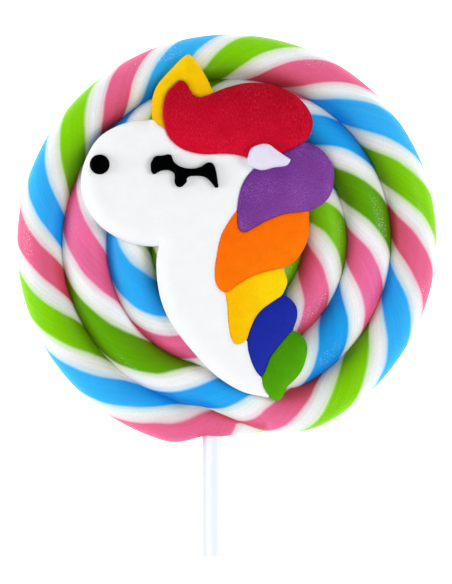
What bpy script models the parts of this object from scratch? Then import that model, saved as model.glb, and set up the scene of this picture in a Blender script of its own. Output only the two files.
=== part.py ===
"""A swirl lollipop lying on its back: a candy rope wound into a disc, a stick in the disc's lower
edge, and a unicorn's head of sugar icing, piped in eleven pieces, on the front.

The coil's middle is at the origin and its flat back on z = 0. The stick points along -Y and the
icing faces +Z. Sizes are in millimetres, and MM turns them to metres where a mesh is made.
"""

import math

import bmesh
import bpy
import numpy as np
from mathutils import Vector
from mathutils.geometry import delaunay_2d_cdt

MM = 0.001

# The coil
DISC_DIAMETER = 80.0
ROPE_RADIUS = 4.5
PITCH = 8.4
OUTER_RING = DISC_DIAMETER / 2 - ROPE_RADIUS
# The rope was laid down soft, so its middle is nearer to the back than its radius.
ROPE_MIDDLE = 3.9
# A ring is nearly round, and the rope steps one pitch inward near the bottom of the disc.
# It takes most of the step at once and the rest a little later. Each part of a step has its middle
# and its half width, in degrees wound from the bottom, and its size.
STEPS = (
    (350.0, 20.0, 7.2),
    (412.0, 28.0, 1.2),
    (714.0, 24.0, 7.3),
    (772.0, 28.0, 1.1),
    (1085.0, 35.0, 7.3),
    (1132.0, 28.0, 1.1),
    (1460.0, 55.0, PITCH),
)
OVAL = 0.009
OVAL_ANGLE = 65.0
# The outer end is drawn out to a thin tail that is tucked against the next ring.
TAIL_START = -11.5
TAIL_LENGTH = 33.5
TAIL_TUCK = 2.6
TUCK_START = 6.0
TUCK_LENGTH = 12.0
CORE_RADIUS = 2.5

TURN = 360.0
TURNS = 5
COLUMNS = 46
TOP_OUTER_SPANS = 4
TOP_INNER_SPANS = 3
REACH = 60.0
HALVINGS = 30
# The crest stays at least this share of a ring's width from both borders.
CREST_MARGIN = 0.25
SHARP_ANGLE = 40.0
WELD = 1e-4

# The stick
STICK_RADIUS = 2.0
STICK_X = -2.7
STICK_END_Y = -60.3
STICK_HIDDEN_END_Y = -17.6
STICK_ROUNDING = 0.25
STICK_SIDES = 32
GAP = 0.3
# The rings are pressed together round the stick, which fills the valleys over it.
SLEEVE_RADIUS = 3.0
SLEEVE_END_Y = -15.0

# The icing
ICING_BASE = ROPE_MIDDLE + ROPE_RADIUS + GAP
HEAD_HEIGHT = 3.0
HORN_HEIGHT = 2.7
FORELOCK_HEIGHT = 3.6
EAR_HEIGHT = 1.9
PURPLE_HEIGHT = 3.4
ORANGE_HEIGHT = 3.3
YELLOW_HEIGHT = 3.0
BLUE_HEIGHT = 2.8
GREEN_HEIGHT = 3.1
EYE_HEIGHT = 0.9
NOSTRIL_HEIGHT = 1.2
NOSTRIL_RADIUS = 1.9
NOSTRIL_X = -24.2
NOSTRIL_Y = 14.7
NOSTRIL_SEGMENTS = 20
NOSTRIL_RINGS = 10
# The part of an icing edge that stands straight before it rounds over, as a share of the height.
STRAIGHT_EDGE = 0.3
ROUNDING = 2.0
SMALL_ROUNDING = 0.8
SPACING = 1.3
SMALL_SPACING = 0.7
CURVE_POINTS = 8
LONGEST_MITRE = 3.0
# The points of an icing's top: rows along the outline at these shares of the rounding, then an even
# spread, at these shares of the spacing from the last row and from each other.
ROW_SHARES = (0.2, 0.55, 1.0)
SPREAD_MARGIN = 0.4
CLOSEST = 0.35
# A point of a row folds over another where it is less than this share of its distance inward.
FOLDED = 0.95
TINY = 1e-6

# Colours, as linear red, green and blue, and roughness
COLOURS = {
    "candy": (0.90, 0.62, 0.68),
    "stick": (0.88, 0.92, 0.97),
    "unicorn_head": (0.90, 0.90, 0.90),
    "horn": (0.90, 0.52, 0.01),
    "forelock": (0.44, 0.01, 0.02),
    "ear": (0.80, 0.78, 0.88),
    "mane_purple": (0.16, 0.04, 0.29),
    "mane_orange": (0.95, 0.19, 0.01),
    "mane_yellow": (0.93, 0.60, 0.01),
    "mane_blue": (0.02, 0.03, 0.36),
    "mane_green": (0.06, 0.27, 0.01),
    "nostril": (0.003, 0.003, 0.003),
    "eye": (0.003, 0.003, 0.003),
}
CANDY_ROUGHNESS = 0.25
STICK_ROUGHNESS = 0.35
ICING_ROUGHNESS = 0.7
NOSTRIL_ROUGHNESS = 0.35

# The borders of the icing pieces as curves through points. Neighbours share their border.
HORN_HEAD = ((-14.1, 23.2), (-13.0, 22.2), (-11.6, 21.4))
HORN_LEFT = (
    (-14.1, 23.2), (-14.3, 25.3), (-14.1, 27.6), (-13.2, 29.9), (-11.5, 31.9), (-9.7, 33.8), (-8.4, 35.1),
    (-7.3, 35.7),
)
HORN_RIGHT = ((-7.3, 35.7), (-6.3, 34.9), (-4.9, 33.0), (-3.6, 30.8), (-2.6, 28.3))
HORN_FORELOCK = (
    (-2.6, 28.3), (-4.1, 27.6), (-5.4, 27.5), (-6.6, 28.0), (-7.3, 29.1), (-7.9, 30.2), (-8.8, 30.7),
    (-9.9, 29.8), (-11.2, 28.4), (-11.9, 26.4), (-12.1, 24.3), (-11.8, 22.6), (-11.6, 21.4),
)
FORELOCK_HEAD = (
    (-11.6, 21.4), (-10.9, 19.9), (-9.3, 18.3), (-7.0, 17.2), (-4.2, 16.7), (-0.9, 16.8), (2.1, 16.6),
    (4.8, 15.8), (6.7, 15.6),
)
FORELOCK_OUTER = (
    (-2.6, 28.3), (-0.3, 29.3), (3.3, 30.2), (6.7, 30.2), (10.4, 29.3), (13.6, 27.5), (15.7, 25.0),
    (16.4, 22.6), (15.8, 20.2), (14.6, 19.0),
)
FORELOCK_PURPLE = ((6.7, 15.6), (9.4, 16.4), (12.1, 17.6), (14.6, 19.0))
HEAD_PURPLE = ((6.7, 15.6), (5.4, 14.0), (4.0, 12.5), (2.9, 10.5), (2.3, 8.2), (2.0, 5.9))
PURPLE_OUTER = (
    (14.6, 19.0), (17.0, 18.3), (19.0, 16.5), (20.3, 14.2), (20.4, 11.7), (19.8, 9.0), (18.0, 7.0),
    (15.6, 5.8),
)
PURPLE_ORANGE = (
    (2.0, 5.9), (2.0, 4.2), (2.2, 2.7), (3.1, 1.7), (4.8, 2.5), (7.5, 4.0), (10.6, 5.2), (13.1, 5.6),
    (15.6, 5.8),
)
HEAD_ORANGE = ((2.0, 5.9), (0.7, 4.2), (-1.0, 1.1), (-1.8, -2.5), (-2.2, -5.8), (-1.8, -8.4), (-0.3, -9.7))
ORANGE_OUTER = ((15.6, 5.8), (15.7, 3.8), (15.6, 1.1), (14.6, -1.5), (12.9, -3.8), (10.4, -5.1))
ORANGE_YELLOW = ((-0.3, -9.7), (2.1, -8.0), (4.6, -6.6), (7.5, -5.6), (10.4, -5.1))
HEAD_YELLOW = ((-0.3, -9.7), (0.1, -12.3), (0.3, -15.5), (0.9, -18.4), (2.1, -19.6), (3.8, -18.6))
YELLOW_OUTER = ((10.4, -5.1), (11.4, -6.7), (11.4, -8.4), (10.4, -10.2))
YELLOW_BLUE = ((3.8, -18.6), (4.5, -16.5), (5.7, -14.0), (7.3, -12.4), (8.9, -11.3), (10.4, -10.2))
HEAD_BLUE = ((3.8, -18.6), (4.1, -20.9), (4.9, -23.4), (5.9, -25.2), (6.7, -26.0))
BLUE_OUTER = ((10.4, -10.2), (11.9, -10.7), (13.2, -12.3), (13.4, -14.4), (12.5, -17.0))
BLUE_GREEN = ((6.7, -26.0), (7.5, -24.3), (8.3, -22.2), (9.6, -20.3), (11.1, -18.5), (12.5, -17.0))
HEAD_GREEN = ((6.7, -26.0), (7.1, -27.8), (8.3, -29.7))
GREEN_OUTER = (
    (12.5, -17.0), (14.0, -17.6), (15.2, -19.5), (15.2, -21.6), (14.4, -24.3), (13.1, -26.1), (11.5, -27.7),
    (10.5, -29.8), (9.7, -30.4), (8.3, -29.7),
)
NECK_OUTER = (
    (8.3, -29.7), (5.8, -29.3), (3.1, -28.6), (0.4, -27.2), (-2.5, -25.1), (-5.6, -21.9), (-8.6, -18.3),
    (-10.9, -15.0), (-12.4, -11.5), (-13.2, -7.7), (-13.4, -3.8), (-13.0, -0.9),
)
FACE_OUTER = (
    (-13.0, -0.9), (-15.3, -0.8), (-18.4, -0.2), (-21.4, 1.1), (-24.2, 3.1), (-26.3, 5.8), (-27.6, 9.2),
    (-27.7, 12.8), (-26.6, 16.4), (-24.4, 19.8), (-21.4, 21.8), (-18.0, 23.0), (-15.7, 23.1), (-14.1, 23.2),
)
EAR_TOP = ((3.9, 15.6), (4.5, 17.5), (6.0, 18.4), (7.9, 18.5), (9.6, 17.3), (11.1, 16.3), (12.1, 15.6))
EAR_BOTTOM = ((3.9, 15.6), (4.6, 14.3), (6.7, 13.6), (9.0, 14.1), (11.4, 14.5), (12.1, 15.6))
# The closed eye is an arched lid with three lashes.
EYE_TOP = (
    (-14.5, 14.8), (-13.7, 16.2), (-12.2, 16.4), (-10.7, 16.6), (-10.1, 15.3), (-8.8, 14.3), (-6.7, 13.9),
    (-4.9, 14.3), (-3.6, 15.1), (-2.5, 14.7), (-1.9, 12.8), (-1.6, 10.4),
)
EYE_BOTTOM = (
    (-14.5, 14.8), (-14.4, 13.4), (-13.8, 12.8), (-12.7, 13.4), (-11.2, 13.6), (-10.0, 12.9), (-9.9, 11.1),
    (-8.9, 10.3), (-7.7, 11.3), (-7.4, 12.3), (-5.8, 12.5), (-4.2, 12.3), (-3.0, 11.3), (-2.1, 10.2),
    (-1.6, 10.4),
)


def clear_scene():
    for obj in list(bpy.data.objects):
        bpy.data.objects.remove(obj, do_unlink=True)


def new_collection(name):
    collection = bpy.data.collections.new(name)
    bpy.context.scene.collection.children.link(collection)
    return collection


def new_material(name, roughness):
    material = bpy.data.materials.new(name)
    material.use_nodes = True
    shader = material.node_tree.nodes["Principled BSDF"]
    shader.inputs["Base Color"].default_value = (*COLOURS[name], 1.0)
    shader.inputs["Roughness"].default_value = roughness
    shader.inputs["Metallic"].default_value = 0.0
    return material


def new_object(name, bm, material, collection):
    """An object from the bmesh, whose points are in millimetres."""
    bmesh.ops.scale(bm, vec=(MM, MM, MM), verts=bm.verts)
    bmesh.ops.recalc_face_normals(bm, faces=bm.faces)
    mesh = bpy.data.meshes.new(name)
    bm.to_mesh(mesh)
    bm.free()
    mesh.shade_smooth()
    mesh.set_sharp_from_angle(angle=math.radians(SHARP_ANGLE))
    mesh.materials.append(material)
    obj = bpy.data.objects.new(name, mesh)
    collection.objects.link(obj)
    return obj


def ease(share):
    share = min(max(share, 0.0), 1.0)
    return share * share * (3.0 - 2.0 * share)


def rope_radius(wound):
    """The rope's radius where it has wound this many degrees from the bottom of the disc."""
    return ROPE_RADIUS * math.sqrt(min(max((wound - TAIL_START) / TAIL_LENGTH, 0.0), 1.0))


def ring_radius(wound):
    """The distance from the axis to the middle of the rope."""
    radius = OUTER_RING
    for middle, half_width, size in STEPS:
        radius -= size * ease((wound - middle + half_width) / (2.0 * half_width))
    radius *= 1.0 + OVAL * math.cos(2.0 * math.radians(wound - OVAL_ANGLE))
    if wound < TAIL_START + TAIL_LENGTH:
        tuck = TAIL_TUCK * (1.0 - ease((wound - TUCK_START) / TUCK_LENGTH))
        radius += ROPE_RADIUS - rope_radius(wound) - tuck
    return radius


def toward(wound):
    angle = math.radians(wound)
    return -math.sin(angle), -math.cos(angle)


class Rope:
    """The rope as a close row of balls along its middle line."""

    def __init__(self):
        self.wound = np.arange(TAIL_START, TAIL_START + (TURNS + 1) * TURN, 1.0)
        rings = np.array([ring_radius(w) for w in self.wound])
        angles = np.radians(self.wound)
        self.x = -rings * np.sin(angles)
        self.y = -rings * np.cos(angles)
        self.radius = np.array([rope_radius(w) for w in self.wound])

    def near(self, wound):
        return abs(self.wound - wound) <= REACH

    def half_height(self, x, y, near=slice(None)):
        """Half the candy's thickness at a point, from one stretch of the rope or from all of it."""
        gap = (self.x[near] - x) ** 2 + (self.y[near] - y) ** 2
        return math.sqrt(max(0.0, float(np.max(self.radius[near] ** 2 - gap))))

    def free_edge(self, wound):
        """The distance from the axis to the outermost candy in this direction."""
        dx, dy = toward(wound)
        near = self.near(wound) | self.near(wound + TURN)
        along = self.x[near] * dx + self.y[near] * dy
        across = self.x[near] * dy - self.y[near] * dx
        room = self.radius[near] ** 2 - across**2
        return float(np.max(along[room > 0.0] + np.sqrt(room[room > 0.0])))

    def valley(self, wound):
        """The distance from the axis to the line where this turn meets the next one inward."""
        dx, dy = toward(wound)
        inner = ring_radius(wound + TURN)
        outer = ring_radius(wound) if wound > TAIL_START + TURN else self.free_edge(wound)
        own, following = self.near(wound), self.near(wound + TURN)
        for _ in range(HALVINGS):
            middle = (inner + outer) / 2.0
            x, y = middle * dx, middle * dy
            if self.half_height(x, y, own) >= self.half_height(x, y, following):
                outer = middle
            else:
                inner = middle
        return outer


def candy_half_height(rope, x, y):
    half = rope.half_height(x, y)
    if y < SLEEVE_END_Y and abs(x - STICK_X) < SLEEVE_RADIUS:
        half = max(half, math.sqrt(SLEEVE_RADIUS**2 - (x - STICK_X) ** 2))
    return half


def across_rope(inner, crest, outer, angles):
    """Distances from the axis at angles round the rope, from 0 at its outer side to 180."""
    distances = []
    for angle in angles:
        side = math.cos(math.radians(angle))
        reach = outer - crest if side > 0.0 else crest - inner
        full = math.cos(math.radians(angles[0] if side > 0.0 else angles[-1]))
        distances.append(crest + reach * side / abs(full))
    return distances


def coil_mesh():
    """The wound rope as a skin over and under, whose columns run from each turn's outer border to
    its inner one. A turn's outer border is the inner border of the turn before it."""
    rope = Rope()
    step = TURN / COLUMNS
    valleys = [rope.valley(TAIL_START + i * step) for i in range((TURNS - 1) * COLUMNS + 1)]
    fused = math.degrees(math.acos(PITCH / 2.0 / ROPE_RADIUS))
    flat = math.degrees(math.asin(ROPE_MIDDLE / ROPE_RADIUS))
    bm = bmesh.new()
    top, bottom = [], []

    def point(distance, wound, side):
        dx, dy = toward(wound)
        x, y = distance * dx, distance * dy
        z = ROPE_MIDDLE + side * candy_half_height(rope, x, y)
        return bm.verts.new((x, y, max(z, 0.0)))

    for i in range(TURNS * COLUMNS + 1):
        wound = TAIL_START + i * step
        free = i < COLUMNS
        outer = rope.free_edge(wound) if free else valleys[i - COLUMNS]
        if i < len(valleys):
            inner = valleys[i]
        else:
            share = (i - len(valleys) + 1) / COLUMNS
            inner = valleys[-1] - (valleys[-1] - CORE_RADIUS) * math.sin(math.pi * share)
        margin = CREST_MARGIN * (outer - inner)
        crest = min(max(ring_radius(wound), inner + margin), outer - margin)
        start = 0.0 if free else fused
        end = 180.0 - fused
        top_angles = [start + (90.0 - start) * j / TOP_OUTER_SPANS for j in range(TOP_OUTER_SPANS + 1)]
        top_angles += [90.0 + (end - 90.0) * j / TOP_INNER_SPANS for j in range(1, TOP_INNER_SPANS + 1)]
        bottom_angles = [start, (start + flat) / 2.0, flat, 180.0 - flat, (180.0 - flat + end) / 2.0, end]
        for rows, angles, side in ((top, top_angles, 1.0), (bottom, bottom_angles, -1.0)):
            distances = across_rope(inner, crest, outer, angles)
            if not free:
                first = rows[i - COLUMNS][-1]
            elif side > 0.0:
                dx, dy = toward(wound)
                first = bm.verts.new((outer * dx, outer * dy, ROPE_MIDDLE))
            else:
                first = top[i][0]
            rows.append([first] + [point(d, wound, side) for d in distances[1:]])

    for rows, side in ((top, 1.0), (bottom, -1.0)):
        for left, right in zip(rows, rows[1:]):
            for j in range(len(left) - 1):
                corners = [left[j], right[j], right[j + 1], left[j + 1]]
                bm.faces.new(list(dict.fromkeys(corners)))
        middle = point(0.0, 0.0, side)
        core = [row[-1] for row in rows[(TURNS - 1) * COLUMNS:]]
        for left, right in zip(core, core[1:]):
            bm.faces.new((left, right, middle))
    bmesh.ops.remove_doubles(bm, verts=bm.verts, dist=WELD)
    return bm


def build_candy(collection, cutters):
    candy = new_object("candy", coil_mesh(), new_material("candy", CANDY_ROUGHNESS), collection)
    bore_end = STICK_HIDDEN_END_Y + GAP
    bore_length = bore_end - STICK_END_Y
    bpy.ops.mesh.primitive_cylinder_add(
        vertices=STICK_SIDES, radius=(STICK_RADIUS + GAP) * MM, depth=bore_length * MM,
        location=(STICK_X * MM, (bore_end - bore_length / 2.0) * MM, ROPE_MIDDLE * MM),
        rotation=(math.pi / 2.0, 0.0, 0.0),
    )
    bore = bpy.context.object
    bore.name = "stick_bore"
    bore.hide_render = True
    bore.display_type = "WIRE"
    for owner in list(bore.users_collection):
        owner.objects.unlink(bore)
    cutters.objects.link(bore)
    cut = candy.modifiers.new("stick_bore", "BOOLEAN")
    cut.operation = "DIFFERENCE"
    cut.object = bore


def build_stick(collection):
    length = STICK_HIDDEN_END_Y - STICK_END_Y
    bpy.ops.mesh.primitive_cylinder_add(
        vertices=STICK_SIDES, radius=STICK_RADIUS * MM, depth=length * MM,
        location=(STICK_X * MM, (STICK_END_Y + length / 2.0) * MM, ROPE_MIDDLE * MM),
        rotation=(math.pi / 2.0, 0.0, 0.0),
    )
    stick = bpy.context.object
    stick.name = "stick"
    stick.data.materials.append(new_material("stick", STICK_ROUGHNESS))
    rounding = stick.modifiers.new("rounding", "BEVEL")
    rounding.width = STICK_ROUNDING * MM
    rounding.segments = 2
    rounding.limit_method = "ANGLE"
    stick.data.shade_smooth()
    stick.data.set_sharp_from_angle(angle=math.radians(SHARP_ANGLE))
    for owner in list(stick.users_collection):
        owner.objects.unlink(stick)
    collection.objects.link(stick)


def curve_through(points, spacing):
    """Evenly spaced points along the smooth curve through the given ones, ends included."""
    given = np.array(points, float)
    padded = np.vstack((2.0 * given[0] - given[1], given, 2.0 * given[-1] - given[-2]))
    dense = [given[0]]
    for a, b, c, d in zip(padded, padded[1:], padded[2:], padded[3:]):
        for k in range(1, CURVE_POINTS + 1):
            t = k / CURVE_POINTS
            dense.append(
                0.5 * (2.0 * b + (c - a) * t + (2.0 * a - 5.0 * b + 4.0 * c - d) * t**2
                       + (3.0 * b - a - 3.0 * c + d) * t**3)
            )
    dense = np.array(dense)
    lengths = np.concatenate(([0.0], np.cumsum(np.linalg.norm(np.diff(dense, axis=0), axis=1))))
    spans = max(2, round(lengths[-1] / spacing))
    even = np.linspace(0.0, lengths[-1], spans + 1)
    return np.column_stack([np.interp(even, lengths, dense[:, axis]) for axis in (0, 1)])


def joined(borders, spacing):
    """One closed outline, counter-clockwise, from borders that meet end to end."""
    curves = [curve_through(border, spacing) for border in borders]
    loop = curves.pop(0)
    while curves:
        end = loop[-1]
        gaps = [min(np.linalg.norm(curve[[0, -1]] - end, axis=1)) for curve in curves]
        curve = curves.pop(int(np.argmin(gaps)))
        if np.linalg.norm(curve[-1] - end) < np.linalg.norm(curve[0] - end):
            curve = curve[::-1]
        loop = np.vstack((loop, curve[1:]))
    loop = loop[:-1]
    x, y = loop.T
    area = float(np.sum(x * np.roll(y, -1) - y * np.roll(x, -1)))
    return loop if area > 0.0 else loop[::-1]


def distance_to(loop, point):
    ahead = np.roll(loop, -1, axis=0) - loop
    share = np.clip(((point - loop) * ahead).sum(axis=1) / (ahead**2).sum(axis=1), 0.0, 1.0)
    return float(np.min(np.linalg.norm(loop + ahead * share[:, None] - point, axis=1)))


def inside(loop, point):
    following = np.roll(loop, -1, axis=0)
    crosses = (loop[:, 1] > point[1]) != (following[:, 1] > point[1])
    start, span = loop[crosses], (following - loop)[crosses]
    at = start[:, 0] + (point[1] - start[:, 1]) * span[:, 0] / span[:, 1]
    return int(np.sum(at > point[0])) % 2 == 1


def inset(loop, distance):
    """The outline moved inward, without the points that would fold over in a tip."""
    ahead = np.roll(loop, -1, axis=0) - loop
    ahead /= np.linalg.norm(ahead, axis=1)[:, None]
    after = np.column_stack((-ahead[:, 1], ahead[:, 0]))
    before = np.roll(after, 1, axis=0)
    inward = after + before
    inward /= np.linalg.norm(inward, axis=1)[:, None]
    mitre = 1.0 / np.maximum((inward * after).sum(axis=1), 1.0 / LONGEST_MITRE)
    moved = loop + inward * (distance * mitre)[:, None]
    return np.array([p for p in moved if distance_to(loop, p) > FOLDED * distance and inside(loop, p)])


def icing_height(distance, height, rounding):
    """The height of an icing's top at a distance from its outline."""
    rest = 1.0 - min(distance / rounding, 1.0)
    return height * (STRAIGHT_EDGE + (1.0 - STRAIGHT_EDGE) * math.sqrt(1.0 - rest**2))


def icing_mesh(outline, base, height, rounding, spacing):
    """A flat-backed pillow: its top rounds over all along the outline."""
    points = list(outline)
    inner_points = []
    for share in ROW_SHARES:
        inner_points += list(inset(outline, share * rounding))
    low, high = outline.min(axis=0), outline.max(axis=0)
    row_height = spacing * math.sqrt(3.0) / 2.0
    for row in range(int((high[1] - low[1]) / row_height) + 1):
        for column in range(int((high[0] - low[0]) / spacing) + 1):
            place = low + np.array(((column + 0.5 * (row % 2)) * spacing, row * row_height))
            edge_gap = rounding + SPREAD_MARGIN * spacing
            if inside(outline, place) and distance_to(outline, place) > edge_gap:
                inner_points.append(place)
    closest = CLOSEST * min(spacing, rounding)
    for candidate in inner_points:
        if min(np.linalg.norm(np.array(points) - candidate, axis=1)) > closest:
            points.append(candidate)
    count = len(outline)
    flat = [Vector(p) for p in points]
    flat, _, faces, _, _, _ = delaunay_2d_cdt(flat, [], [list(range(count))], 1, TINY)
    bm = bmesh.new()
    top = []
    for place in flat:
        distance = distance_to(outline, np.array(place))
        top.append(bm.verts.new((place.x, place.y, base + icing_height(distance, height, rounding))))
    for face in faces:
        bm.faces.new([top[k] for k in face])
    back = [bm.verts.new((v.co.x, v.co.y, base)) for v in top[:count]]
    for k in range(count):
        following = (k + 1) % count
        bm.faces.new((top[k], back[k], back[following], top[following]))
    bm.faces.new(back[::-1])
    return bm


def build_icing(name, borders, height, collection):
    """A piece of icing on the candy, a gap clear of the pieces beside it."""
    outline = inset(joined(borders, SPACING), GAP / 2.0)
    bm = icing_mesh(outline, ICING_BASE, height, ROUNDING, SPACING)
    new_object(name, bm, new_material(name, ICING_ROUGHNESS), collection)


def build_small_icing(name, borders, base, height, collection):
    """A small piece of icing on top of others."""
    bm = icing_mesh(joined(borders, SMALL_SPACING), base, height, SMALL_ROUNDING, SMALL_SPACING)
    new_object(name, bm, new_material(name, ICING_ROUGHNESS), collection)


def build_nostril(collection):
    """A round drop, flat where it sits on the head."""
    bm = bmesh.new()
    base = ICING_BASE + HEAD_HEIGHT + GAP
    bmesh.ops.create_uvsphere(bm, u_segments=NOSTRIL_SEGMENTS, v_segments=NOSTRIL_RINGS, radius=1.0)
    everything = bm.verts[:] + bm.edges[:] + bm.faces[:]
    bmesh.ops.bisect_plane(bm, geom=everything, plane_co=(0, 0, 0), plane_no=(0, 0, 1), clear_inner=True)
    bmesh.ops.holes_fill(bm, edges=[e for e in bm.edges if e.is_boundary])
    bmesh.ops.scale(bm, vec=(NOSTRIL_RADIUS, NOSTRIL_RADIUS, NOSTRIL_HEIGHT), verts=bm.verts)
    bmesh.ops.translate(bm, vec=(NOSTRIL_X, NOSTRIL_Y, base), verts=bm.verts)
    new_object("nostril", bm, new_material("nostril", NOSTRIL_ROUGHNESS), collection)


def build_unicorn(collection):
    head = (
        HORN_HEAD, FORELOCK_HEAD, HEAD_PURPLE, HEAD_ORANGE, HEAD_YELLOW, HEAD_BLUE, HEAD_GREEN,
        NECK_OUTER, FACE_OUTER,
    )
    horn = (HORN_HEAD, HORN_LEFT, HORN_RIGHT, HORN_FORELOCK)
    forelock = (HORN_FORELOCK, FORELOCK_HEAD, FORELOCK_PURPLE, FORELOCK_OUTER)
    purple = (FORELOCK_PURPLE, PURPLE_OUTER, PURPLE_ORANGE, HEAD_PURPLE)
    orange = (PURPLE_ORANGE, ORANGE_OUTER, ORANGE_YELLOW, HEAD_ORANGE)
    yellow = (ORANGE_YELLOW, YELLOW_OUTER, YELLOW_BLUE, HEAD_YELLOW)
    blue = (YELLOW_BLUE, BLUE_OUTER, BLUE_GREEN, HEAD_BLUE)
    green = (BLUE_GREEN, GREEN_OUTER, HEAD_GREEN)
    build_icing("unicorn_head", head, HEAD_HEIGHT, collection)
    build_icing("horn", horn, HORN_HEIGHT, collection)
    build_icing("forelock", forelock, FORELOCK_HEIGHT, collection)
    build_icing("mane_purple", purple, PURPLE_HEIGHT, collection)
    build_icing("mane_orange", orange, ORANGE_HEIGHT, collection)
    build_icing("mane_yellow", yellow, YELLOW_HEIGHT, collection)
    build_icing("mane_blue", blue, BLUE_HEIGHT, collection)
    build_icing("mane_green", green, GREEN_HEIGHT, collection)
    ear_base = ICING_BASE + max(FORELOCK_HEIGHT, PURPLE_HEIGHT) + GAP
    build_small_icing("ear", (EAR_TOP, EAR_BOTTOM), ear_base, EAR_HEIGHT, collection)
    eye_base = ICING_BASE + HEAD_HEIGHT + GAP
    build_small_icing("eye", (EYE_TOP, EYE_BOTTOM), eye_base, EYE_HEIGHT, collection)
    build_nostril(collection)


def main():
    clear_scene()
    lollipop = new_collection("swirl_lollipop")
    cutters = new_collection("cutters")
    build_candy(lollipop, cutters)
    build_stick(lollipop)
    build_unicorn(lollipop)


main()
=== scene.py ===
"""The looks of the swirl lollipop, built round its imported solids.

It lies on its back, the icing up, and the camera looks straight down on it. Sizes are in
millimetres in the solids' own frame, and MM turns them to metres where a mesh is made.
"""

import math

import bmesh
import bpy
import numpy as np
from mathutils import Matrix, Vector, noise
from mathutils.geometry import delaunay_2d_cdt


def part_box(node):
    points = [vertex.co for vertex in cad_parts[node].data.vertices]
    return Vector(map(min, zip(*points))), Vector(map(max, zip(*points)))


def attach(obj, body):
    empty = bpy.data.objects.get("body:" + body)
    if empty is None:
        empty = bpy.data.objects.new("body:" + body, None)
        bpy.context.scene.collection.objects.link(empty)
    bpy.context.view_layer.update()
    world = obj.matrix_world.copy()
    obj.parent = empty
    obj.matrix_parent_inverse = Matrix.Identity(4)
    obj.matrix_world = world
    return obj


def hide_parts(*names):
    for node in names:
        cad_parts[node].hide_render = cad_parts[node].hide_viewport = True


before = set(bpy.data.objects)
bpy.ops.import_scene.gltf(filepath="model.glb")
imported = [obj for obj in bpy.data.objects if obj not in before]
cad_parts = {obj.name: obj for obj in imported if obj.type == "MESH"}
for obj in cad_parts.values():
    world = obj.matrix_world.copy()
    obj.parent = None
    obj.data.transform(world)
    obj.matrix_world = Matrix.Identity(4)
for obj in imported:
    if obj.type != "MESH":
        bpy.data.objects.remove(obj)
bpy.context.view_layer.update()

MM = 0.001
ROOT = "root"

# The coil, with the sizes and the rules of the solid
CANDY_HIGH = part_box("candy")[1] / MM
ROPE_RADIUS = 4.5
PITCH = 8.4
OUTER_RING = 35.5
ROPE_MIDDLE = CANDY_HIGH.z - ROPE_RADIUS
STEPS = (
    (350.0, 20.0, 7.2),
    (412.0, 28.0, 1.2),
    (714.0, 24.0, 7.3),
    (772.0, 28.0, 1.1),
    (1085.0, 35.0, 7.3),
    (1132.0, 28.0, 1.1),
    (1460.0, 55.0, PITCH),
)
OVAL = 0.009
OVAL_ANGLE = 65.0
TAIL_START = -11.5
TAIL_LENGTH = 33.5
TAIL_TUCK = 2.6
TUCK_START = 6.0
TUCK_LENGTH = 12.0
CORE_RADIUS = 2.5
TURN = 360.0
TURNS = 5
REACH = 60.0
HALVINGS = 30
SHARP_ANGLE = 40.0
SLEEVE_RADIUS = 3.0
SLEEVE_END_Y = -15.0
# The crest stays at least this share of a ring's width from both borders.
CREST_MARGIN = 0.25
COIL_WELD = 0.002
STICK_LOW, STICK_HIGH = (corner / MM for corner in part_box("stick"))
STICK_X = (STICK_LOW.x + STICK_HIGH.x) / 2.0

# How finely the coil's skin is divided
COLUMNS = 252
TOP_OUTER_SPANS = 12
TOP_INNER_SPANS = 10
BOTTOM_SIDE_SPANS = 5
BOTTOM_FLAT_SPANS = 3

# The stripes: the degrees wound from the bottom at which each one crosses the rope's crest. Every
# third stripe is pink, the ones after it blue and the ones before it green, with white between.
TWIST = (
    (-12.0, -0.7), (-3.0, -0.27), (0.0, -0.06), (3.0, 0.1), (7.0, 0.21), (12.0, 0.27),
    (17.5, 0.35), (23.0, 0.52), (30.0, 0.75), (45.0, 1.28), (62.0, 1.95), (82.0, 2.88),
    (102.5, 4.01), (123.0, 4.98), (143.5, 6.01), (163.0, 7.03), (181.5, 8.01), (204.0, 9.01),
    (226.5, 9.92), (250.0, 10.94), (273.0, 12.01), (293.5, 13.0), (318.5, 14.04), (330.0, 14.51),
    (344.5, 15.19), (361.5, 15.97), (378.0, 16.47), (398.5, 16.95), (421.0, 17.39), (445.0, 17.94),
    (465.0, 18.49), (490.0, 19.22), (500.0, 19.57), (510.0, 19.86), (530.0, 20.44), (556.0, 21.33),
    (581.0, 22.08), (611.0, 22.98), (642.5, 24.03), (670.0, 24.96), (697.0, 25.89), (725.0, 26.8),
    (753.0, 27.44), (781.0, 27.95), (825.0, 28.7), (845.0, 28.96), (900.0, 30.01), (940.0, 31.0),
    (975.5, 32.06), (1015.5, 33.02), (1060.0, 33.97), (1345.0, 38.0), (1800.0, 46.0),
)
COLOURS_ROUND = 3
# How far the stripes turn with the rope's own outer and inner side, in the outer ring and in the others
RING_TURNS = 0.94, 0.84
TURNS_WITHIN = 0.85, 0.71
# The tail was drawn out after the twisting, so the stripes open out there.
TAIL_TWIST = 0.25
OPEN_START = 5.0
OPEN_LENGTH = 18.0
# How much painted crease shade the candy's colour takes at angles from the rope's crest, in the outer ring
# and in the others
RING_CREASE_SHADE = ((-69.0, 1.0), (-48.0, 0.9), (-35.0, 0.65), (-20.0, 0.4), (0.0, 0.15), (20.0, 0.0), (90.0, 0.0))
CREASE_SHADE_WITHIN = (
    (-69.0, 1.0), (-48.0, 0.8), (-25.0, 0.45), (0.0, 0.1), (20.0, 0.0), (35.0, 0.2), (50.0, 0.8), (69.0, 1.0),
)
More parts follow.
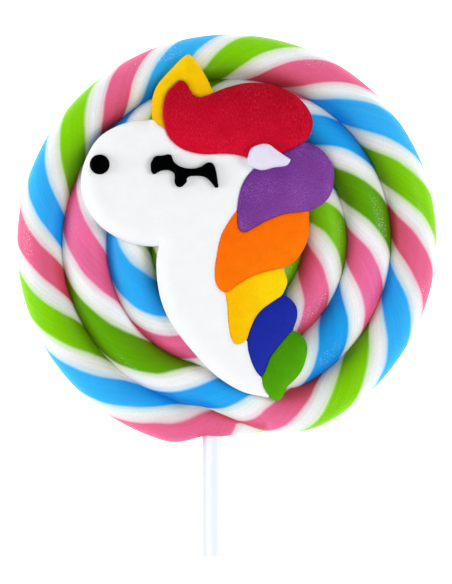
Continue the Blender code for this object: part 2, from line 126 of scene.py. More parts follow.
# How far the colours are those of the inner turns, by degrees wound
INWARD = ((335.0, 0.0), (375.0, 1.0), (700.0, 1.0), (760.0, 0.3))
UNEVEN_HEIGHT = 0.07
UNEVEN_SIZE = 7.0
UNEVEN_OUT = 0.2

# The icing
ICING_SINK = 0.35
TOUCH = 0.18
SHARED_NEAR = 0.55
FREE_EDGE = 0.3
SHARED_EDGE = 0.84
ROUNDING = 3.2
SHARED_ROUNDING = 1.0
ICING_SPACING = 0.4
RING_SHARES = (0.04, 0.12, 0.25, 0.42, 0.62, 0.82, 1.0)
LONGEST_MITRE = 3.0
CURVE_POINTS = 8
WAVE_HEIGHT = 0.10
WAVE_SIZE = 6.0
LEVEL = 0.01
OUTLINE_WELD = 0.001
# A ring's point stays where it is this share of its distance from the outline, and the grid starts this share
# of its spacing inside the last ring.
RING_CLEAR = 0.95
GRID_CLEAR = 0.4

# The view
CAMERA_X = -0.15
CAMERA_Y = -9.58
CAMERA_DISTANCE = 1200.0
VIEW_HEIGHT = 111.9
SENSOR = 36.0
FAR_CLIP = 10.0


def ease(share):
    share = min(max(share, 0.0), 1.0)
    return share * share * (3.0 - 2.0 * share)


# The coil

def rope_radius(wound):
    return ROPE_RADIUS * math.sqrt(min(max((wound - TAIL_START) / TAIL_LENGTH, 0.0), 1.0))


def ring_radius(wound):
    """The distance from the axis to the middle of the rope."""
    radius = OUTER_RING
    for middle, half_width, size in STEPS:
        radius -= size * ease((wound - middle + half_width) / (2.0 * half_width))
    radius *= 1.0 + OVAL * math.cos(2.0 * math.radians(wound - OVAL_ANGLE))
    if wound < TAIL_START + TAIL_LENGTH:
        tuck = TAIL_TUCK * (1.0 - ease((wound - TUCK_START) / TUCK_LENGTH))
        radius += ROPE_RADIUS - rope_radius(wound) - tuck
    return radius


def toward(wound):
    angle = math.radians(wound)
    return -math.sin(angle), -math.cos(angle)


class Rope:
    """The rope as a close row of balls along its middle line."""

    def __init__(self):
        self.wound = np.arange(TAIL_START, TAIL_START + (TURNS + 1) * TURN, 1.0)
        rings = np.array([ring_radius(w) for w in self.wound])
        angles = np.radians(self.wound)
        self.x = -rings * np.sin(angles)
        self.y = -rings * np.cos(angles)
        self.radius = np.array([rope_radius(w) for w in self.wound])

    def near(self, wound):
        return abs(self.wound - wound) <= REACH

    def half_heights(self, x, y, near):
        """Half the candy's thickness at points, from one stretch of the rope."""
        gap = (self.x[near] - x[:, None]) ** 2 + (self.y[near] - y[:, None]) ** 2
        return np.sqrt(np.maximum(0.0, np.max(self.radius[near] ** 2 - gap, axis=1)))

    def free_edge(self, wound):
        """The distance from the axis to the outermost candy in this direction."""
        dx, dy = toward(wound)
        near = self.near(wound) | self.near(wound + TURN)
        along = self.x[near] * dx + self.y[near] * dy
        across = self.x[near] * dy - self.y[near] * dx
        room = self.radius[near] ** 2 - across**2
        return float(np.max(along[room > 0.0] + np.sqrt(room[room > 0.0])))

    def valley(self, wound):
        """The distance from the axis to the line where this turn meets the next one inward."""
        dx, dy = toward(wound)
        inner = ring_radius(wound + TURN)
        outer = ring_radius(wound) if wound > TAIL_START + TURN else self.free_edge(wound)
        own, following = self.near(wound), self.near(wound + TURN)
        for _ in range(HALVINGS):
            middle = (inner + outer) / 2.0
            x, y = np.array([middle * dx]), np.array([middle * dy])
            if self.half_heights(x, y, own)[0] >= self.half_heights(x, y, following)[0]:
                outer = middle
            else:
                inner = middle
        return outer


def through(knots, at):
    """A smooth rising curve through (place, value) knots."""
    places, values = np.array(knots).T
    slopes = np.gradient(values, places)
    k = int(np.clip(np.searchsorted(places, at) - 1, 0, len(places) - 2))
    span = places[k + 1] - places[k]
    t = (at - places[k]) / span
    rise = values[k + 1] - values[k]
    start, end = slopes[k] * span, slopes[k + 1] * span
    bend, twist = 3.0 * rise - 2.0 * start - end, start + end - 2.0 * rise
    return float(values[k] + t * (start + t * (bend + t * twist)))


def across_rope(inner, crest, outer, angles):
    """Distances from the axis at angles round the rope, from 0 at its outer side to 180."""
    side = np.cos(np.radians(angles))
    full = np.where(side > 0.0, side[0], -side[-1])
    return crest + np.where(side > 0.0, outer - crest, crest - inner) * side / full


def coil_skin():
    """Points, faces and stripe places of the coil, in columns from each turn's outer border to its
    inner one. A turn's outer border is the inner border of the turn before it."""
    rope = Rope()
    step = TURN / COLUMNS
    valleys = [rope.valley(TAIL_START + i * step) for i in range((TURNS - 1) * COLUMNS + 1)]
    fused = math.degrees(math.acos(PITCH / 2.0 / ROPE_RADIUS))
    flat = math.degrees(math.asin(ROPE_MIDDLE / ROPE_RADIUS))
    end = 180.0 - fused
    points, faces, places = [], [], []
    top, bottom = [], []
    length = 0.0

    def add(x, y, z):
        points.append((x, y, z))
        return len(points) - 1

    for i in range(TURNS * COLUMNS + 1):
        wound = TAIL_START + i * step
        dx, dy = toward(wound)
        free = i < COLUMNS
        outer = rope.free_edge(wound) if free else valleys[i - COLUMNS]
        if i < len(valleys):
            inner = valleys[i]
        else:
            share = (i - len(valleys) + 1) / COLUMNS
            inner = valleys[-1] - (valleys[-1] - CORE_RADIUS) * math.sin(math.pi * share)
        margin = CREST_MARGIN * (outer - inner)
        crest = min(max(ring_radius(wound), inner + margin), outer - margin)
        start = 0.0 if free else fused
        top_angles = np.concatenate((
            np.linspace(start, 90.0, TOP_OUTER_SPANS + 1), np.linspace(90.0, end, TOP_INNER_SPANS + 1)[1:],
        ))
        bottom_angles = np.concatenate((
            np.linspace(start, flat, BOTTOM_SIDE_SPANS + 1),
            np.linspace(flat, 180.0 - flat, BOTTOM_FLAT_SPANS + 1)[1:],
            np.linspace(180.0 - flat, end, BOTTOM_SIDE_SPANS + 1)[1:],
        ))
        stripe = through(TWIST, wound)
        opened = TAIL_TWIST + (1.0 - TAIL_TWIST) * ease((wound - OPEN_START) / OPEN_LENGTH)
        length += math.radians(step) * ring_radius(wound)
        for rows, angles, side in ((top, top_angles, 1.0), (bottom, bottom_angles, -1.0)):
            distances = across_rope(inner, crest, outer, angles)
            x, y = distances * dx, distances * dy
            near = rope.near(wound) | rope.near(wound + TURN) | rope.near(wound - TURN)
            half = rope.half_heights(x, y, near)
            sleeve = (y < SLEEVE_END_Y) & (abs(x - STICK_X) < SLEEVE_RADIUS)
            round_stick = np.sqrt(np.maximum(SLEEVE_RADIUS**2 - (x - STICK_X) ** 2, 0.0))
            half = np.where(sleeve, np.maximum(half, round_stick), half)
            turned = 90.0 - angles if side > 0.0 else 90.0 + angles
            turned *= np.where(turned > 0.0, *(RING_TURNS if free else TURNS_WITHIN))
            stripes = stripe - opened * turned * COLOURS_ROUND / TURN
            # Painted crease shade: how far the colours turn to their darker crease set at each angle round
            # the rope
            crease_shade = np.interp(90.0 - angles, *zip(*(RING_CREASE_SHADE if free else CREASE_SHADE_WITHIN)))
            z = np.maximum(ROPE_MIDDLE + side * half, 0.0)
            if not free:
                first = rows[i - COLUMNS][0][-1]
            elif side > 0.0:
                first = add(outer * dx, outer * dy, ROPE_MIDDLE)
            else:
                first = top[i][0][0]
            indices = [first] + [add(*place) for place in zip(x[1:], y[1:], z[1:])]
            rows.append((indices, stripes, length, crease_shade, float(np.interp(wound, *zip(*INWARD)))))

    for rows, side in ((top, 1.0), (bottom, -1.0)):
        for left, right in zip(rows, rows[1:]):
            for j in range(len(left[0]) - 1):
                corners = [(left, j), (right, j), (right, j + 1), (left, j + 1)]
                if side < 0.0:
                    corners.reverse()
                faces.append([column[0][k] for column, k in corners])
                places += [(column[1][k], column[2], column[3][k], column[4]) for column, k in corners]
        core = rows[(TURNS - 1) * COLUMNS:]
        middle = add(0.0, 0.0, max(ROPE_MIDDLE + side * ROPE_RADIUS, 0.0))
        for left, right in zip(core, core[1:]):
            corners = [left[0][-1], right[0][-1], middle]
            faces.append(corners if side > 0.0 else corners[::-1])
            places += [(left[1][-1], left[2], 1.0, left[4])] * 3
    return np.array(points), faces, places


def roughened(points):
    """The points moved a little, as a rope pulled by hand is uneven."""
    moved = points.copy()
    for k, (x, y, z) in enumerate(points):
        if z <= 0.0:
            continue
        wave = noise.noise(Vector((x, y, z)) / UNEVEN_SIZE)
        out = Vector((x, y, 0.0)).normalized() * UNEVEN_OUT
        moved[k] += np.array((out.x, out.y, 1.0)) * wave * UNEVEN_HEIGHT
        moved[k][2] = max(moved[k][2], 0.0)
    return moved


def build_candy(material):
    points, faces, places = coil_skin()
    points = roughened(points)
    mesh = bpy.data.meshes.new("candy_rope")
    mesh.from_pydata(points * MM, [], faces)
    places = np.array(places, np.float32)
    mesh.uv_layers.new(name="stripes").data.foreach_set("uv", places[:, :2].ravel())
    # This layer holds the painted crease shade and the share of the inner turns' colours.
    mesh.uv_layers.new(name="depth").data.foreach_set("uv", places[:, 2:].ravel())
    bm = bmesh.new()
    bm.from_mesh(mesh)
    bmesh.ops.remove_doubles(bm, verts=bm.verts, dist=COIL_WELD * MM)
    bmesh.ops.recalc_face_normals(bm, faces=bm.faces)
    bm.to_mesh(mesh)
    bm.free()
    finish_piece("candy_rope", mesh, material, "candy")


# The icing

def outline_of(node):
    """The outline of an icing solid's flat back, counter-clockwise from its leftmost point, in
    millimetres."""
    bm = bmesh.new()
    bm.from_mesh(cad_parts[node].data)
    bmesh.ops.remove_doubles(bm, verts=bm.verts, dist=OUTLINE_WELD * MM)
    base = min(v.co.z for v in bm.verts)
    back = {f for f in bm.faces if all(v.co.z < base + LEVEL * MM for v in f.verts)}
    following = {}
    for face in back:
        for loop in face.loops:
            if any(f not in back for f in loop.edge.link_faces):
                following[loop.link_loop_next.vert] = loop.vert
    start = min(following, key=lambda v: tuple(v.co))
    outline = [start]
    while following[outline[-1]] is not start:
        outline.append(following[outline[-1]])
    flat = np.array([(v.co.x, v.co.y) for v in outline]) / MM
    bm.free()
    x, y = flat.T
    area = float(np.sum(x * np.roll(y, -1) - y * np.roll(x, -1)))
    return (flat if area > 0.0 else flat[::-1]), base / MM


def smooth_loop(points, spacing):
    """Evenly spaced points along the closed smooth curve through the given ones."""
    a, b, c, d = (np.roll(points, k, axis=0) for k in (1, 0, -1, -2))
    dense = []
    for k in range(CURVE_POINTS):
        t = k / CURVE_POINTS
        dense.append(
            0.5 * (2.0 * b + (c - a) * t + (2.0 * a - 5.0 * b + 4.0 * c - d) * t**2
                   + (3.0 * b - a - 3.0 * c + d) * t**3)
        )
    dense = np.stack(dense, axis=1).reshape(-1, 2)
    closed = np.vstack((dense, dense[:1]))
    lengths = np.concatenate(([0.0], np.cumsum(np.linalg.norm(np.diff(closed, axis=0), axis=1))))
    even = np.linspace(0.0, lengths[-1], round(lengths[-1] / spacing) + 1)[:-1]
    return np.column_stack([np.interp(even, lengths, closed[:, axis]) for axis in (0, 1)])


def distances_to(loop, places):
    """For each place, the distance to the loop."""
    best = np.full(len(places), np.inf)
    ahead = np.roll(loop, -1, axis=0) - loop
    for point, span in zip(loop, ahead):
        off = places - point
        share = np.clip((off @ span) / max(span @ span, 1e-12), 0.0, 1.0)
        best = np.minimum(best, np.linalg.norm(off - share[:, None] * span, axis=1))
    return best


def distances_to_points(points, places):
    if not len(points):
        return np.full(len(places), np.inf)
    gaps = np.linalg.norm(places[:, None, :] - points[None, :, :], axis=2)
    return gaps.min(axis=1)


def inside(loop, places):
    count = np.zeros(len(places), int)
    for (x, y), (next_x, next_y) in zip(loop, np.roll(loop, -1, axis=0)):
        if y == next_y:
            continue
        crosses = (y > places[:, 1]) != (next_y > places[:, 1])
        at = x + (places[:, 1] - y) * (next_x - x) / (next_y - y)
        count += crosses & (at > places[:, 0])
    return count % 2 == 1


def shifted(loop, distance):
    """The outline moved inward, with its corners mitred."""
    ahead = np.roll(loop, -1, axis=0) - loop
    ahead /= np.linalg.norm(ahead, axis=1)[:, None]
    after = np.column_stack((-ahead[:, 1], ahead[:, 0]))
    inward = after + np.roll(after, 1, axis=0)
    inward /= np.linalg.norm(inward, axis=1)[:, None]
    mitre = 1.0 / np.maximum((inward * after).sum(axis=1), 1.0 / LONGEST_MITRE)
    return loop + inward * (distance * mitre)[:, None]


def profile(distances, rounding, edge):
    """How high an icing stands near an outline, as a share of its full height."""
    rest = 1.0 - np.minimum(distances / rounding, 1.0)
    return edge + (1.0 - edge) * np.sqrt(1.0 - rest**2)


def icing_points(outline, rounding, spacing):
    rings = []
    for share in RING_SHARES:
        ring = shifted(outline, share * rounding)
        keep = inside(outline, ring) & (distances_to(outline, ring) > RING_CLEAR * share * rounding)
        rings.append(ring[keep])
    low, high = outline.min(axis=0), outline.max(axis=0)
    row_height = spacing * math.sqrt(3.0) / 2.0
    rows = int((high[1] - low[1]) / row_height) + 1
    columns = int((high[0] - low[0]) / spacing) + 1
    row, column = (index.ravel() for index in np.mgrid[:rows, :columns])
    grid = low + np.column_stack(((column + 0.5 * (row % 2)) * spacing, row * row_height))
    grid = grid[inside(outline, grid)]
    grid = grid[distances_to(outline, grid) > rounding + GRID_CLEAR * spacing]
    return np.vstack([outline] + rings + [grid])


def build_icing(node, material, neighbours=(), sink=ICING_SINK, rounding=ROUNDING,
                spacing=ICING_SPACING, edge=FREE_EDGE, touch=TOUCH):
    """A pillow of icing in the place of its solid, up against its neighbours."""
    outline, base = outline_of(node)
    outline = shifted(smooth_loop(outline, spacing), -touch)
    top = (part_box(node)[1].z / MM) - base
    shared = np.full(len(outline), False)
    for other in neighbours:
        shared |= distances_to(other, outline) < SHARED_NEAR
    places = icing_points(outline, rounding, spacing)
    flat, _, faces, _, _, _ = delaunay_2d_cdt(
        [Vector(p) for p in places], [], [list(range(len(outline)))], 1, 1e-6,
    )
    flat = np.array(flat)
    free = profile(distances_to_points(outline[~shared], flat), rounding, edge)
    met = profile(distances_to_points(outline[shared], flat), SHARED_ROUNDING, SHARED_EDGE)
    bm = bmesh.new()
    verts = []
    for (x, y), share in zip(flat, free * met):
        wave = noise.noise(Vector((x / WAVE_SIZE, y / WAVE_SIZE, base)))
        verts.append(bm.verts.new((x, y, base + share * (top + WAVE_HEIGHT * wave))))
    for face in faces:
        bm.faces.new([verts[k] for k in face])
    count = len(outline)
    back = [bm.verts.new((v.co.x, v.co.y, base - sink)) for v in verts[:count]]
    for k in range(count):
        following = (k + 1) % count
        bm.faces.new((verts[k], back[k], back[following], verts[following]))
    bm.faces.new(back[::-1])
    bmesh.ops.scale(bm, vec=(MM, MM, MM), verts=bm.verts)
    bmesh.ops.recalc_face_normals(bm, faces=bm.faces)
    mesh = bpy.data.meshes.new(node + "_icing")
    bm.to_mesh(mesh)
    bm.free()
    finish_piece(node + "_icing", mesh, material, node)


def finish_piece(name, mesh, material, node):
    mesh.shade_smooth()
    mesh.set_sharp_from_angle(angle=math.radians(SHARP_ANGLE))
    mesh.materials.clear()
    mesh.materials.append(material)
    piece = bpy.data.objects.new(name, mesh)
    bpy.context.scene.collection.objects.link(piece)
    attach(piece, ROOT)
    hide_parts(node)


# Materials

class Nodes:
    """A short way to add nodes and links to a material."""

    def __init__(self, name):
        self.material = bpy.data.materials.new(name)
        self.material.use_nodes = True
        self.tree = self.material.node_tree
        self.shader = self.tree.nodes["Principled BSDF"]

    def add(self, kind, **settings):
        node = self.tree.nodes.new("ShaderNode" + kind)
        for name, value in settings.items():
            setattr(node, name, value)
        return node

    def link(self, source, target):
        self.tree.links.new(source, target)

    def math(self, operation, a, b=None):
        node = self.add("Math", operation=operation)
        for socket, value in zip(node.inputs, (a, b)):
            if value is None:
                continue
            if isinstance(value, (int, float)):
                socket.default_value = value
            else:
                self.link(value, socket)
        return node.outputs[0]

    def product(self, first, *others):
        for factor in others:
            first = self.math("MULTIPLY", first, factor)
        return first

    def noise(self, vector, scale, detail=2.0, roughness=0.5):
        node = self.add("TexNoise")
        node.inputs["Scale"].default_value = scale
        node.inputs["Detail"].default_value = detail
        node.inputs["Roughness"].default_value = roughness
        self.link(vector, node.inputs["Vector"])
        return node.outputs["Fac"]

    def stretched(self, vector, scale):
        node = self.add("Mapping")
        node.inputs["Scale"].default_value = scale
        self.link(vector, node.inputs["Vector"])
        return node.outputs["Vector"]

    def between(self, factor, low, high):
        """The factor's middle range spread from low to high."""
        node = self.add("MapRange")
        node.inputs["From Min"].default_value = 0.3
        node.inputs["From Max"].default_value = 0.7
        node.inputs["To Min"].default_value = low
        node.inputs["To Max"].default_value = high
        self.link(factor, node.inputs["Value"])
        return node.outputs["Result"]

    def lighten(self, colour, factor):
        """The colour multiplied by a factor."""
        node = self.add("VectorMath", operation="SCALE")
        self.link(colour, node.inputs["Vector"])
        self.link(factor, node.inputs["Scale"])
        return node.outputs["Vector"]

    def mix(self, factor, low, high):
        node = self.add("Mix", data_type="RGBA")
        for name, value in (("Factor", factor), ("A", low), ("B", high)):
            socket = next(s for s in node.inputs if s.name == name and s.enabled)
            if isinstance(value, tuple):
                socket.default_value = (*value, 1.0)
            else:
                self.link(value, socket)
        return next(s for s in node.outputs if s.enabled)

    def bump(self, height, distance, before=None):
        node = self.add("Bump")
        node.inputs["Distance"].default_value = distance
        self.link(height, node.inputs["Height"])
        if before is not None:
            self.link(before, node.inputs["Normal"])
        return node.outputs["Normal"]


def linear(red, green, blue):
    """A linear colour from its values on a screen, 0 to 255."""
    shares = [value / 255.0 for value in (red, green, blue)]
    return tuple(s / 12.92 if s <= 0.04045 else ((s + 0.055) / 1.055) ** 2.4 for s in shares)


# The stripes' colours: near the crest of the outer ring, near the crest of the inner turns, and in the
# creases of each.
# The crease sets are painted shade: their pink, blue and green are darker than at the crest.
STRIPES = (
    {"pink": (232, 104, 147), "blue": (52, 179, 248), "green": (133, 211, 4), "white": (237, 241, 241)},
    {"pink": (239, 116, 168), "blue": (30, 166, 240), "green": (98, 171, 0), "white": (244, 245, 247)},
    {"pink": (192, 62, 72), "blue": (16, 145, 231), "green": (90, 139, 0), "white": (222, 222, 216)},
    {"pink": (230, 88, 130), "blue": (24, 134, 221), "green": (90, 128, 0), "white": (246, 247, 248)},
)
# Each stripe's middle, half its width and the width of its edge
BANDS = (("pink", 0.51, 0.26, 0.05), ("blue", 1.475, 0.285, 0.05), ("green", 2.505, 0.28, 0.05))
# The colour runs a little into the white beside it.
BLEED = 0.22
BLEED_WIDTH = 0.12


def stripes_ramp(n, place, colours):
    """The stripes round the rope in one set of colours."""
    ramp = n.add("ValToRGB")
    elements = ramp.color_ramp.elements
    while len(elements) > 1:
        elements.remove(elements[-1])
    white = colours["white"]
    elements[0].position = 0.0
    elements[0].color = (*linear(*white), 1.0)
    for name, middle, half, edge in BANDS:
        colour = colours[name]
        tinted = tuple(w + BLEED * (c - w) for c, w in zip(colour, white))
        stops = ((half, colour), (half + edge, tinted), (half + edge + BLEED_WIDTH, white))
        for side in (-1.0, 1.0):
            for offset, shade in stops:
                element = elements.new((middle + side * offset) / COLOURS_ROUND)
                element.color = (*linear(*shade), 1.0)
    n.link(place, ramp.inputs["Fac"])
    return ramp.outputs["Color"]


# The scratches, painted pale as highlights where they catch the light: their colour, the slopes that they lie
# on, and the scale and the strength of the single ones and of the patches that they lie in
SCRATCH_GLINT_COLOUR = (0.9, 0.9, 0.86)
GLINTING_SLOPES = 0.3, 0.75
SCRATCH_GLINT_SCALE = 4200.0
SCRATCH_GLINTS = -2.4, 0.9
PATCH_SCALE = 70.0
PATCHES = -1.9, 0.9


def painted_scratch_glints(n):
    """Fine scratches painted pale as highlights, here and there on the slopes that face away from the coil's
    middle.
    """
    geometry = n.add("NewGeometry")
    place = geometry.outputs["Position"]
    outward = n.add("VectorMath", operation="MULTIPLY")
    n.link(place, outward.inputs[0])
    outward.inputs[1].default_value = (1.0, 1.0, 0.0)
    away = n.add("VectorMath", operation="NORMALIZE")
    n.link(outward.outputs["Vector"], away.inputs[0])
    lean = n.add("VectorMath", operation="DOT_PRODUCT")
    n.link(away.outputs["Vector"], lean.inputs[0])
    n.link(geometry.outputs["Normal"], lean.inputs[1])
    low, high = GLINTING_SLOPES
    above = n.math("GREATER_THAN", lean.outputs["Value"], low)
    below = n.math("LESS_THAN", lean.outputs["Value"], high)
    glinting_scratches = n.math("MAXIMUM", n.between(n.noise(place, SCRATCH_GLINT_SCALE, 2.0, 0.7), *SCRATCH_GLINTS), 0.0)
    patches = n.math("MAXIMUM", n.between(n.noise(place, PATCH_SCALE, 1.0), *PATCHES), 0.0)
    return n.product(above, below, glinting_scratches, patches)


# The candy's unevenness: how its noises are stretched across and along the rope, their scales, and the range
# that each one spreads its tone or its finish over
WANDER_STRETCH = (1.2, 0.09, 1.0)
WANDER = 0.03
STREAK_STRETCH = (34.0, 0.05, 1.0)
STREAK_TONE = 0.92, 1.06
CLOUD_STRETCH = (1.0, 0.02, 1.0)
CLOUD_SCALE = 3.0
CLOUD_TONE = 0.96, 1.03
CANDY_GRAIN = 3000.0
GRAIN_TONE = 0.96, 1.03
CANDY_ROUGHNESS = 0.28, 0.42
CANDY_GLOSS = 0.08
STREAK_HEIGHT = 0.02
GRAIN_HEIGHT = 0.015
# How far light passes under the candy's surface
CLEARNESS = 0.4
CLEAR_COLOURS = (1.0, 0.8, 0.7)
CLEAR_DEPTH = 0.6


def candy_material():
    n = Nodes("striped_candy")
    places = n.add("UVMap", uv_map="stripes").outputs["UV"]
    wander = n.between(n.noise(n.stretched(places, WANDER_STRETCH), 1.0), -WANDER, WANDER)
    parts = n.add("SeparateXYZ")
    n.link(places, parts.inputs[0])
    across = n.math("ADD", parts.outputs["X"], wander)
    round_rope = n.math("FRACT", n.math("DIVIDE", n.math("ADD", across, 0.5), float(COLOURS_ROUND)))
    depth = n.add("SeparateXYZ")
    n.link(n.add("UVMap", uv_map="depth").outputs["UV"], depth.inputs[0])
    # The crease colours are painted shade, mixed in toward the creases.
    crest, inner_crest, shaded_crease, shaded_inner_crease = (stripes_ramp(n, round_rope, colours) for colours in STRIPES)
    high = n.mix(depth.outputs["Y"], crest, inner_crest)
    low = n.mix(depth.outputs["Y"], shaded_crease, shaded_inner_crease)
    colour = n.mix(depth.outputs["X"], high, low)
    streaks = n.noise(n.stretched(places, STREAK_STRETCH), 1.0, 4.0, 0.65)
    cloud = n.noise(n.stretched(places, CLOUD_STRETCH), CLOUD_SCALE)
    grain = n.noise(n.add("NewGeometry").outputs["Position"], CANDY_GRAIN, 1.0)
    tone = n.product(
        n.between(streaks, *STREAK_TONE), n.between(cloud, *CLOUD_TONE), n.between(grain, *GRAIN_TONE),
    )
    # Pale scratch highlights are painted into the colour on the outward slopes.
    colour = n.mix(painted_scratch_glints(n), n.lighten(colour, tone), SCRATCH_GLINT_COLOUR)
    n.link(colour, n.shader.inputs["Base Color"])
    n.link(n.between(streaks, *CANDY_ROUGHNESS), n.shader.inputs["Roughness"])
    n.shader.inputs["Specular IOR Level"].default_value = CANDY_GLOSS
    n.shader.inputs["Subsurface Weight"].default_value = CLEARNESS
    n.shader.inputs["Subsurface Radius"].default_value = CLEAR_COLOURS
    n.shader.inputs["Subsurface Scale"].default_value = CLEAR_DEPTH * MM
    relief = n.bump(grain, GRAIN_HEIGHT * MM, n.bump(streaks, STREAK_HEIGHT * MM))
    n.link(relief, n.shader.inputs["Normal"])
    return n.material


# The icing's grain: the cells a metre of its faint glints, round ones and ones drawn out up the forelock
ROUND_GRAIN = (5200.0, 5200.0, 5200.0)
NAPPED_GRAIN = (5600.0, 1700.0, 1700.0)
FAINT_GLINTS = -0.3, 0.7
# The crystals: how many there are a metre, the share that is too dull to see, and the size of the others
CRYSTALS = 3600.0
DULL_CRYSTALS = 0.95
CRYSTAL_SIZE = 0.4
CLUSTER_SCALE = 260.0
CLUSTERS = 0.4, 1.1
GLINT_LIFT = 40
SUGAR_GRAIN = 4500.0
SUGAR_HEIGHT = 0.03
MOTTLE_SCALE = 420.0
MOTTLE_HEIGHT = 0.08
MOTTLING = 0.05
WHITE_MOTTLING = 0.012
ICING_ROUGHNESS = 0.72
ROUGHNESS_SPREAD = 0.08
ICING_GLOSS = 0.04
# Most icing pieces are painted paler toward this side, as painted light from the lamps there.
DOWN_RIGHT = (0.7, -0.7)


def painted_light_toward(n, place, node, direction):
    """0 on one side of a piece to 1 on the side that lies in a direction: the share of painted light, paler
    on the lit side.
    """
    low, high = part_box(node)
    across = n.add("VectorMath", operation="DOT_PRODUCT")
    n.link(place, across.inputs[0])
    across.inputs[1].default_value = (*direction, 0.0)
    corners = [x * direction[0] + y * direction[1] for x in (low.x, high.x) for y in (low.y, high.y)]
    share = n.add("MapRange")
    share.inputs["From Min"].default_value = min(corners)
    share.inputs["From Max"].default_value = max(corners)
    n.link(across.outputs["Value"], share.inputs["Value"])
    return share.outputs["Result"]


def sugar_glints(n, place, nap):
    """Sugar crystals in clusters, their glints painted as pale specks: many faint ones, drawn out along the
    nap, and a few bright ones.
    """
    faint = n.between(n.noise(n.stretched(place, nap), 1.0, 1.0), *FAINT_GLINTS)
    cells = n.add("TexVoronoi")
    cells.inputs["Scale"].default_value = CRYSTALS
    n.link(place, cells.inputs["Vector"])
    pick = n.add("SeparateColor")
    n.link(cells.outputs["Color"], pick.inputs[0])
    few = n.math("GREATER_THAN", pick.outputs[0], DULL_CRYSTALS)
    close = n.math("LESS_THAN", cells.outputs["Distance"], CRYSTAL_SIZE)
    bright = n.product(few, close, pick.outputs[1])
    clusters = n.between(n.noise(place, CLUSTER_SCALE, 1.0), *CLUSTERS)
    return n.math("MULTIPLY", n.math("MAXIMUM", faint, bright), clusters)


def icing_material(name, colour, painted_light_colour=None, node=None, direction=DOWN_RIGHT, glint=0.0, nap=ROUND_GRAIN,
                   roughness=ICING_ROUGHNESS, mottling=MOTTLING, gloss=ICING_GLOSS):
    n = Nodes(name)
    place = n.add("NewGeometry").outputs["Position"]
    grain = n.noise(place, SUGAR_GRAIN, 2.0, 0.6)
    mottle = n.noise(place, MOTTLE_SCALE, 3.0)
    uneven = 1.0 - mottling, 1.0 + mottling
    base = n.add("RGB")
    base.outputs[0].default_value = (*linear(*colour), 1.0)
    shaded = base.outputs[0]
    # The paler side is painted light: the colour turns paler toward the side that faces the lamps.
    if painted_light_colour:
        shaded = n.mix(painted_light_toward(n, place, node, direction), shaded, linear(*painted_light_colour))
    shaded = n.lighten(shaded, n.product(n.between(grain, *uneven), n.between(mottle, *uneven)))
    # The glints are painted highlights: paler specks in the base colour.
    if glint:
        bright = tuple(min(channel + GLINT_LIFT, 255) for channel in painted_light_colour)
        shaded = n.mix(n.math("MULTIPLY", sugar_glints(n, place, nap), glint), shaded, linear(*bright))
    n.link(shaded, n.shader.inputs["Base Color"])
    finish = n.between(grain, roughness - ROUGHNESS_SPREAD, roughness + ROUGHNESS_SPREAD)
    n.link(finish, n.shader.inputs["Roughness"])
    n.shader.inputs["Specular IOR Level"].default_value = gloss
    relief = n.bump(grain, SUGAR_HEIGHT * MM, n.bump(mottle, MOTTLE_HEIGHT * MM))
    n.link(relief, n.shader.inputs["Normal"])
    return n.material


# The stick's colour at shares of its width, from its left side to its right one: pale bands of painted
# highlight and darker ones of painted shade run along it.
STICK_PAINTED_LIGHT = (
    (0.06, (206, 212, 222)), (0.18, (208, 214, 224)), (0.25, (236, 241, 248)), (0.35, (249, 252, 255)),
    (0.47, (244, 249, 255)), (0.58, (238, 244, 253)), (0.68, (231, 238, 246)), (0.80, (241, 245, 249)),
    (0.94, (232, 234, 236)),
)
STICK_LINES = (900.0, 12.0, 900.0)
STICK_TONE = 0.99, 1.01
STICK_ROUGHNESS = 0.30, 0.42
STICK_RELIEF = 0.01


def stick_material():
    n = Nodes("stick_plastic")
    place = n.add("NewGeometry").outputs["Position"]
    across = n.add("MapRange")
    across.inputs["From Min"].default_value = STICK_LOW.x * MM
    across.inputs["From Max"].default_value = STICK_HIGH.x * MM
    coordinates = n.add("SeparateXYZ")
    n.link(place, coordinates.inputs[0])
    n.link(coordinates.outputs["X"], across.inputs["Value"])
    # Painted highlight and shade in bands across the stick
    ramp = n.add("ValToRGB")
    elements = ramp.color_ramp.elements
    while len(elements) < len(STICK_PAINTED_LIGHT):
        elements.new(0.5)
    for element, (share, colour) in zip(elements, STICK_PAINTED_LIGHT):
        element.position = share
        element.color = (*linear(*colour), 1.0)
    n.link(across.outputs["Result"], ramp.inputs["Fac"])
    lines = n.noise(n.stretched(place, STICK_LINES), 1.0, 3.0)
    tinted = n.lighten(ramp.outputs["Color"], n.between(lines, *STICK_TONE))
    n.link(tinted, n.shader.inputs["Base Color"])
    n.link(n.between(lines, *STICK_ROUGHNESS), n.shader.inputs["Roughness"])
    n.link(n.bump(lines, STICK_RELIEF * MM), n.shader.inputs["Normal"])
    return n.material


def build_stick():
    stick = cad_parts["stick"]
    stick.data.materials.clear()
    stick.data.materials.append(stick_material())


# Each icing's material slot, colour, paler colour of its painted light and the side that it pales toward, and
# share of painted glints
ICING = {
    "unicorn_head": ("icing_white", (244, 246, 247), None, DOWN_RIGHT, 0.0),
    "horn": ("icing_gold", (240, 180, 2), (246, 204, 8), (-0.3, 0.9), 0.0),
    "forelock": ("icing_red", (154, 0, 22), (212, 8, 44), (-0.1, -1.0), 0.4),
    "mane_purple": ("icing_purple", (88, 32, 124), (132, 68, 156), DOWN_RIGHT, 0.7),
    "mane_orange": ("icing_orange", (250, 98, 0), (253, 130, 3), (0.5, -0.8), 0.06),
    "mane_yellow": ("icing_yellow", (249, 184, 0), (253, 220, 10), (1.0, 0.0), 0.0),
    "mane_blue": ("icing_blue", (18, 30, 148), (36, 52, 170), DOWN_RIGHT, 0.15),
    "mane_green": ("icing_green", (44, 110, 0), (92, 180, 8), DOWN_RIGHT, 0.15),
}


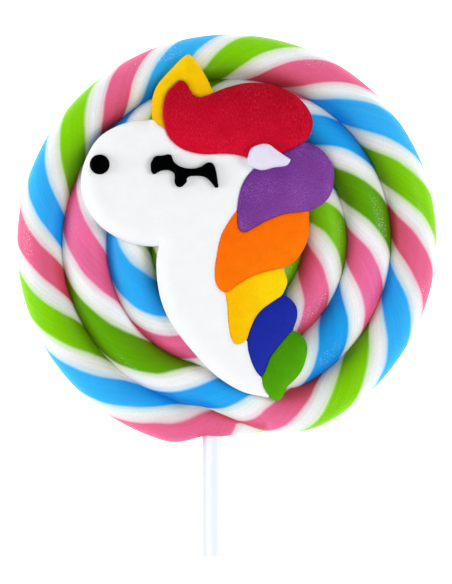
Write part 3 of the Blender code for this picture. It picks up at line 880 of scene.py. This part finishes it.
def build_unicorn():
    outlines = {node: shifted(smooth_loop(outline_of(node)[0], ICING_SPACING), -TOUCH) for node in ICING}
    for node, (slot_name, colour, painted_light_colour, direction, glint) in ICING.items():
        neighbours = [loop for other, loop in outlines.items() if other != node]
        material = icing_material(
            node + "_sugar", colour, painted_light_colour, node, direction, glint,
            nap=NAPPED_GRAIN if node == "forelock" else ROUND_GRAIN,
            mottling=WHITE_MOTTLING if painted_light_colour is None else MOTTLING,
        )
        build_icing(node, material, neighbours)
    pale = icing_material("ear_sugar", (229, 224, 243), mottling=WHITE_MOTTLING)
    black = icing_material("black_sugar", (1, 1, 2), roughness=0.5, gloss=0.01)
    build_icing("ear", pale, sink=1.4, rounding=1.7, spacing=0.25, edge=0.35, touch=0.0)
    build_icing("eye", black, sink=0.7, rounding=0.8, spacing=0.2, touch=0.0)
    build_icing("nostril", black, sink=0.7, rounding=1.8, spacing=0.2, edge=0.1, touch=0.0)


# The studio

# Each light's place in metres and its power in watts
LIGHTS = (
    ("right", (0.52, 0.0, 0.47), 1.9),
    ("near", (0.0, -0.52, 0.47), 0.9),
    ("left_low", (-0.67, 0.0, 0.20), 2.3),
    ("far_low", (0.0, 0.68, 0.16), 0.4),
)
LIGHT_SIZE = 0.35
WORLD_STRENGTH = 0.5
FLOOR_HALF_WIDTH = 3.0
FLOOR_COLOUR = (0.9, 0.9, 0.9)
FLOOR_ROUGHNESS = 0.9
FLOOR_GLOW = 0.8
WHITE = (1.0, 1.0, 1.0)


def add_light(name, place, power):
    data = bpy.data.lights.new(name, "AREA")
    data.shape = "DISK"
    data.size = LIGHT_SIZE
    data.energy = power
    light = bpy.data.objects.new(name, data)
    light.location = place
    light.rotation_mode = "QUATERNION"
    light.rotation_quaternion = (-Vector(place)).to_track_quat("-Z", "Y")
    bpy.context.scene.collection.objects.link(light)


def build_studio():
    scene = bpy.context.scene
    scene.view_settings.view_transform = "Standard"
    world = bpy.data.worlds.new("studio")
    world.use_nodes = True
    background = world.node_tree.nodes["Background"]
    background.inputs["Color"].default_value = (*WHITE, 1.0)
    background.inputs["Strength"].default_value = WORLD_STRENGTH
    scene.world = world
    for light in LIGHTS:
        add_light(*light)
    mesh = bpy.data.meshes.new("floor")
    half = FLOOR_HALF_WIDTH
    corners = [(-half, -half, 0.0), (half, -half, 0.0), (half, half, 0.0), (-half, half, 0.0)]
    mesh.from_pydata(corners, [], [(0, 1, 2, 3)])
    floor = bpy.data.objects.new("floor", mesh)
    scene.collection.objects.link(floor)
    n = Nodes("floor_white")
    n.shader.inputs["Base Color"].default_value = (*FLOOR_COLOUR, 1.0)
    n.shader.inputs["Roughness"].default_value = FLOOR_ROUGHNESS
    n.shader.inputs["Emission Color"].default_value = (*WHITE, 1.0)
    n.shader.inputs["Emission Strength"].default_value = FLOOR_GLOW
    mesh.materials.append(n.material)


def build_camera():
    data = bpy.data.cameras.new("camera")
    data.sensor_width = SENSOR
    data.lens = SENSOR * (CAMERA_DISTANCE - ROPE_MIDDLE) / VIEW_HEIGHT
    data.clip_end = FAR_CLIP
    camera = bpy.data.objects.new("camera", data)
    camera.location = Vector((CAMERA_X, CAMERA_Y, CAMERA_DISTANCE)) * MM
    bpy.context.scene.collection.objects.link(camera)
    bpy.context.scene.camera = camera


build_camera()
build_studio()
build_candy(candy_material())
build_stick()
build_unicorn()
